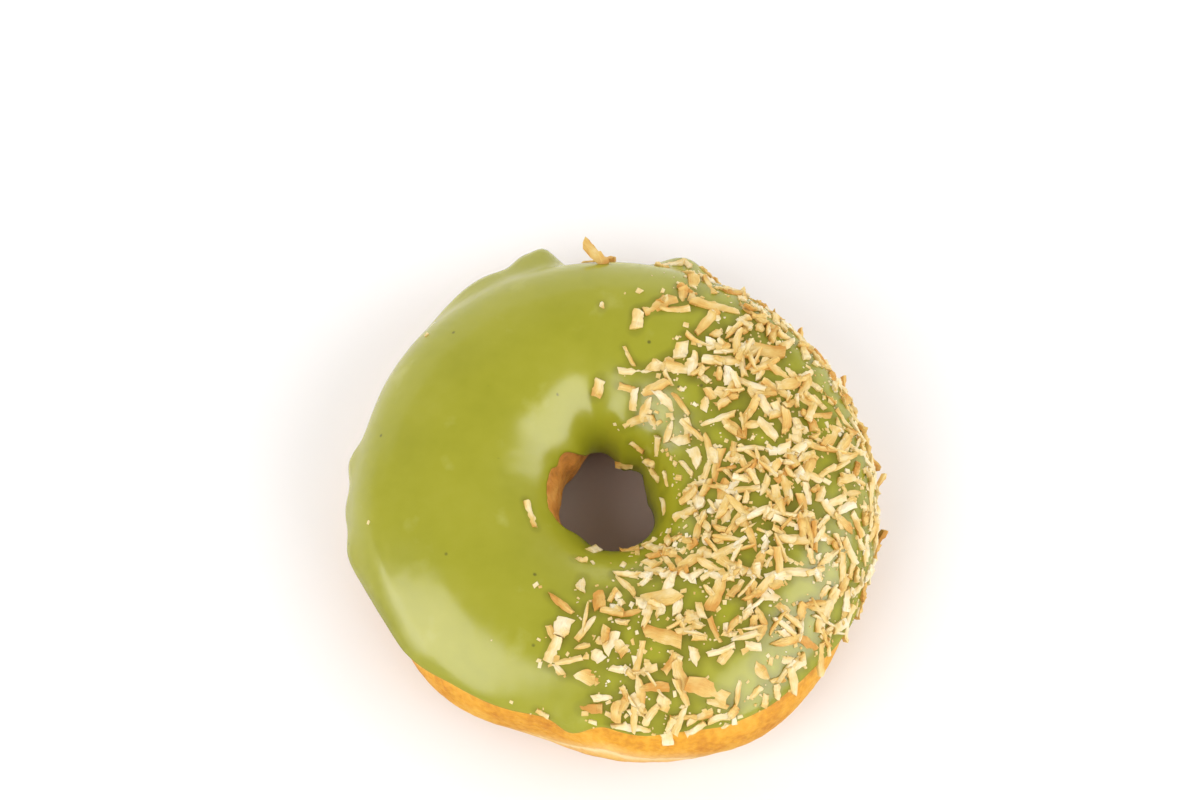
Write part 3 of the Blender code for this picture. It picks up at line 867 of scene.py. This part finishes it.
class Finish:
    """A material, with short calls for wiring its nodes."""

    def __init__(self, name, grain):
        self.material = bpy.data.materials.new(name)
        self.material.use_nodes = True
        self.tree = self.material.node_tree
        self.shader = self.tree.nodes["Principled BSDF"]
        self.grain_group = grain
        self.place = self.add("ShaderNodeTexCoord").outputs["Object"]

    def add(self, kind, settings=(), **inputs):
        node = self.tree.nodes.new(kind)
        for key, value in dict(settings).items():
            setattr(node, key, value)
        for key, value in inputs.items():
            self.feed(node.inputs[key.replace("_", " ")], value)
        return node

    def feed(self, socket, value):
        if isinstance(value, bpy.types.NodeSocket):
            self.tree.links.new(value, socket)
        elif socket.type == "RGBA":
            socket.default_value = (*value, 1.0)
        else:
            socket.default_value = value

    def grain(self, scale, detail=2.0, low=0.3, high=0.7, place=None):
        node = self.add("ShaderNodeGroup", {"node_tree": self.grain_group})
        for key, value in (("Scale", scale), ("Detail", detail), ("Low", low), ("High", high)):
            node.inputs[key].default_value = value
        self.feed(node.inputs["Place"], place or self.place)
        return node.outputs["Amount"]

    def attribute(self, name, output="Fac"):
        return self.add("ShaderNodeAttribute", {"attribute_name": name}).outputs[output]

    def ramp(self, value, stops):
        """A colour for each stop: (position, colour)."""
        node = self.add("ShaderNodeValToRGB", Fac=value)
        elements = node.color_ramp.elements
        while len(elements) < len(stops):
            elements.new(0.5)
        for element, (position, colour) in zip(elements, stops):
            element.position = position
            element.color = (*colour, 1.0)
        return node.outputs["Color"]

    def span(self, value, low, high, start=0.0, end=1.0):
        """Takes low to high over to start to end, and stops there."""
        node = self.add("ShaderNodeMapRange", {"clamp": True}, Value=value)
        limits = {"From Min": low, "From Max": high, "To Min": start, "To Max": end}
        for key, number in limits.items():
            node.inputs[key].default_value = number
        return node.outputs["Result"]

    def math(self, operation, a, b=0.0):
        node = self.add("ShaderNodeMath", {"operation": operation})
        self.feed(node.inputs[0], a)
        self.feed(node.inputs[1], b)
        return node.outputs["Value"]

    def blend_of(self, parts):
        """The sum of (value, share) pairs."""
        total = None
        for value, share in parts:
            part = self.math("MULTIPLY", value, share)
            total = part if total is None else self.math("ADD", total, part)
        return total

    def mix(self, share, a, b):
        node = self.add("ShaderNodeMix", {"data_type": "RGBA"})
        self.feed(node.inputs["Factor"], share)
        colours = [socket for socket in node.inputs if socket.type == "RGBA"]
        self.feed(colours[0], a)
        self.feed(colours[1], b)
        return [socket for socket in node.outputs if socket.type == "RGBA"][0]

    def bump(self, height, distance, strength=1.0, normal=None):
        node = self.add("ShaderNodeBump", Height=height, Distance=distance, Strength=strength)
        if normal is not None:
            self.feed(node.inputs["Normal"], normal)
        return node.outputs["Normal"]

    def finish(self, **values):
        for key, value in values.items():
            self.feed(self.shader.inputs[key.replace("_", " ")], value)
        return self.material


def dough_material(grain):
    f = Finish("fried_dough", grain)
    blotches = f.grain(110.0, 4.0)
    fine = f.grain(900.0, 3.0)
    crust = f.ramp(
        f.blend_of([(blotches, 0.6), (fine, 0.4)]),
        [(0.1, (0.72, 0.39, 0.040)), (0.5, (0.63, 0.29, 0.014)), (0.9, (0.46, 0.165, 0.005))],
    )
    browner = f.ramp(
        f.blend_of([(f.grain(260.0, 4.0), 0.7), (fine, 0.3)]),
        [(0.15, (0.66, 0.31, 0.070)), (0.5, (0.55, 0.22, 0.038)), (0.9, (0.33, 0.12, 0.018))],
    )
    crust = f.mix(f.span(f.attribute("in_hole"), 0.2, 0.7), crust, browner)
    wobble = f.span(f.grain(220.0, 3.0), 0.0, 1.0, -0.5, 0.5)
    off_line = f.math("ABSOLUTE", f.math("ADD", f.attribute("off_line"), wobble))
    band = f.span(off_line, 0.5, 4.5, 0.4, 0.0)
    line = f.span(off_line, 0.4, 1.8, 0.85, 0.0)
    colour = f.mix(f.math("MAXIMUM", band, line), crust, (0.78, 0.60, 0.31))
    normal = f.bump(fine, 0.0002, 0.5)
    normal = f.bump(f.grain(2600.0, 2.0), 0.00006, 0.5, normal)
    return f.finish(
        Base_Color=colour,
        Roughness=f.span(fine, 0.0, 1.0, 0.42, 0.62),
        Normal=normal,
        Specular_IOR_Level=0.3,
        Subsurface_Weight=0.12,
        Subsurface_Radius=(1.0, 0.5, 0.2),
        Subsurface_Scale=0.002,
    )


def icing_material(grain):
    f = Finish("matcha_icing", grain)
    rim = f.attribute("rim")
    cloud = f.grain(70.0, 3.0)
    fine = f.grain(420.0, 4.0)
    base = f.ramp(
        f.blend_of([(cloud, 0.7), (fine, 0.3)]),
        [(0.1, (0.262, 0.262, 0.014)), (0.5, (0.281, 0.279, 0.017)), (0.9, (0.300, 0.294, 0.022))],
    )
    specks = f.add("ShaderNodeTexVoronoi", Scale=330.0)
    f.feed(specks.inputs["Vector"], f.place)
    near = f.span(specks.outputs["Distance"], 0.06, 0.14, 1.0, 0.0)
    speck = f.math("MULTIPLY", near, f.grain(160.0, 0.0, 0.64, 0.68))
    colour = f.mix(f.math("MULTIPLY", speck, 0.75), base, (0.06, 0.05, 0.01))
    scuffs = f.grain(150.0, 6.0, 0.62, 0.85)
    colour = f.mix(f.math("MULTIPLY", scuffs, 0.6), colour, (0.42, 0.41, 0.10))
    thin = f.span(rim, 0.0, 0.55, 0.55, 0.0)
    colour = f.mix(thin, colour, (0.48, 0.48, 0.12))
    # Painted shadow: the icing is darker round and between the shreds.
    shade = f.span(f.attribute("shade"), 0.22, 0.9, 0.0, 0.5)
    colour = f.mix(shade, colour, (0.10, 0.088, 0.006))
    return f.finish(
        Base_Color=colour,
        Roughness=f.span(fine, 0.0, 1.0, 0.20, 0.26),
        Normal=f.bump(fine, 0.00003, 0.4),
        IOR=1.46,
        Subsurface_Weight=0.2,
        Subsurface_Radius=(1.0, 0.9, 0.25),
        Subsurface_Scale=0.0015,
    )


def coconut_material(grain):
    f = Finish("toasted_coconut", grain)
    # Toast here also holds the painted shade towards the shreds' undersides.
    toast = f.attribute("toast")
    along = f.add("ShaderNodeMapping", Vector=f.attribute("grain_place", "Vector"))
    along.inputs["Scale"].default_value = (0.35, 2.4, 1.0)
    fibres = f.grain(2.2, 3.0, place=along.outputs["Vector"])
    patches = f.grain(330.0, 2.0, 0.35, 0.7)
    colour = f.ramp(
        f.blend_of([(toast, 0.55), (patches, 0.35), (fibres, 0.16)]),
        [
            (0.12, (0.77, 0.70, 0.53)),
            (0.42, (0.72, 0.58, 0.30)),
            (0.68, (0.64, 0.44, 0.13)),
            (1.00, (0.53, 0.26, 0.045)),
        ],
    )
    return f.finish(
        Base_Color=colour,
        Roughness=0.62,
        Specular_IOR_Level=0.25,
        Normal=f.bump(fibres, 0.00012, 0.6),
        Subsurface_Weight=0.12,
        Subsurface_Radius=(1.0, 0.7, 0.4),
        Subsurface_Scale=0.001,
    )


def floor_material(grain):
    """A pale table with painted shade, darker round the doughnut and browner where the hole shades
    it; duller in what the icing reflects, a painted reflection, with a painted glow at the front
    left that only reflections see.
    """
    f = Finish("pale_table", grain)
    distance = f.add("ShaderNodeVectorMath", {"operation": "LENGTH"})
    f.feed(distance.inputs[0], f.place)
    away = distance.outputs["Value"]
    place = f.add("ShaderNodeSeparateXYZ", Vector=f.place).outputs
    backwards, rightwards = place["Y"], place["X"]
    # Painted shadow: the table is darker round the doughnut, with one tint in front and another
    # behind.
    near = f.mix(f.span(backwards, -0.06, -0.03), (0.77, 0.785, 0.82), (0.78, 0.775, 0.785))
    floor_with_shade = f.mix(f.span(away, 0.06, 0.12), near, (0.84, 0.85, 0.87))
    # Painted shade: browner in the middle, where the hole shades the table.
    colour = f.mix(f.span(away, 0.014, 0.03), (0.62, 0.52, 0.45), floor_with_shade)
    # Painted reflection: glossy rays see a duller table in front and a paler one behind.
    mirrored = f.add("ShaderNodeLightPath").outputs["Is Glossy Ray"]
    behind = f.math("MULTIPLY", f.span(backwards, -0.025, 0.005), f.span(away, 0.02, 0.04))
    reflected = f.mix(behind, (0.28, 0.28, 0.27), (0.85, 0.84, 0.80))
    colour = f.mix(mirrored, colour, reflected)
    # The part of the table at the front left, painted to glow so that it shines in the icing as
    # the softbox does; only reflections see it.
    off_side = f.math("SUBTRACT", backwards, f.math("MULTIPLY", rightwards, PAINTED_GLOW_SLOPE))
    in_front = f.span(backwards, -0.036, -0.024, 1.0, 0.0)
    glow_patch = f.math("MULTIPLY", in_front, f.span(off_side, -0.004, 0.004))
    glow_patch = f.math("MULTIPLY", glow_patch, f.span(rightwards, -0.15, -0.063, 1.0, 0.12))
    glow_patch = f.math("MULTIPLY", glow_patch, f.span(rightwards, -0.069, -0.062, 1.0, 0.0))
    shine = f.mix(f.math("MULTIPLY", mirrored, glow_patch), (0.0, 0.0, 0.0), PAINTED_GLOW)
    return f.finish(Base_Color=colour, Roughness=0.75, Emission_Color=shine, Emission_Strength=1.0)


# The stage.


def softbox(place, distance):
    """A large soft light that stands upright in this direction."""
    azimuth, width, bottom, top, radiance = place
    light = bpy.data.lights.new("softbox", "AREA")
    light.shape = "RECTANGLE"
    light.size, light.size_y = width, top - bottom
    light.energy = radiance * math.pi * width * (top - bottom)
    light.color = SOFTBOX_TINT
    lamp = bpy.data.objects.new("softbox", light)
    lamp.visible_diffuse = distance == LIT_DISTANCE
    lamp.visible_glossy = distance == SHINE_DISTANCE
    angle = math.radians(azimuth)
    away = Vector((math.cos(angle), math.sin(angle), 0)) * distance
    lamp.location = away + Vector((0, 0, (bottom + top) / 2))
    lamp.rotation_euler = away.to_track_quat("Z", "Y").to_euler()
    bpy.context.scene.collection.objects.link(lamp)


def make_stage(grain):
    scene = bpy.context.scene
    bm = bmesh.new()
    bmesh.ops.create_grid(bm, x_segments=1, y_segments=1, size=FLOOR_SIZE)
    floor = object_from(bm, "table_top", floor_material(grain))
    scene.world = bpy.data.worlds.new("studio")
    scene.world.use_nodes = True
    surroundings = scene.world.node_tree.nodes["Background"]
    surroundings.inputs["Color"].default_value = (*ROOM_TINT, 1.0)
    surroundings.inputs["Strength"].default_value = ROOM_LIGHT
    for place in LIT_BY:
        softbox(place, LIT_DISTANCE)
    for place in SHINE_FROM:
        softbox(place, SHINE_DISTANCE)
    scene.view_settings.view_transform = "Standard"


def make_camera():
    """A camera that sees the ring's middle right of and below the picture's centre."""
    tilt = math.radians(VIEW_ELEVATION)
    target = placed(Vector((0, 0, AIMED_HEIGHT)))
    toward = Vector((0, math.cos(tilt), -math.sin(tilt)))
    pitch = tilt - math.atan(BELOW_BY / FOCAL_LENGTH)
    ahead = Vector((0, math.cos(pitch), -math.sin(pitch)))
    aside = math.atan(RIGHT_BY / FOCAL_LENGTH)
    sight = ahead * math.cos(aside) - Vector((1, 0, 0)) * math.sin(aside)
    right = Vector((1, 0, 0)) * math.cos(aside) + ahead * math.sin(aside)
    above = right.cross(sight)
    camera = bpy.data.cameras.new("camera")
    camera.sensor_width = SENSOR_WIDTH
    camera.lens = SENSOR_WIDTH * FOCAL_LENGTH / PICTURE_WIDTH
    seen_from = bpy.data.objects.new("camera", camera)
    turned = Matrix((right, above, -sight)).transposed()
    seen_from.location = target - toward * (FOCAL_LENGTH / PIXELS_PER_MM * MM)
    seen_from.rotation_euler = turned.to_euler()
    bpy.context.scene.collection.objects.link(seen_from)
    bpy.context.scene.camera = seen_from


def main():
    grain = grain_group()
    coconut = coconut_material(grain)
    dough = make_dough(dough_material(grain))
    plan = heaped_plan()
    icing = make_icing(icing_material(grain), plan)
    shreds = make_shreds(coconut, plan)
    crumbs = make_crumbs(coconut)
    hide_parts("dough")
    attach(dough, "root")
    for piece in (icing, shreds, crumbs):
        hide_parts("icing")
        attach(piece, "root")
    make_stage(grain)
    make_camera()


main()
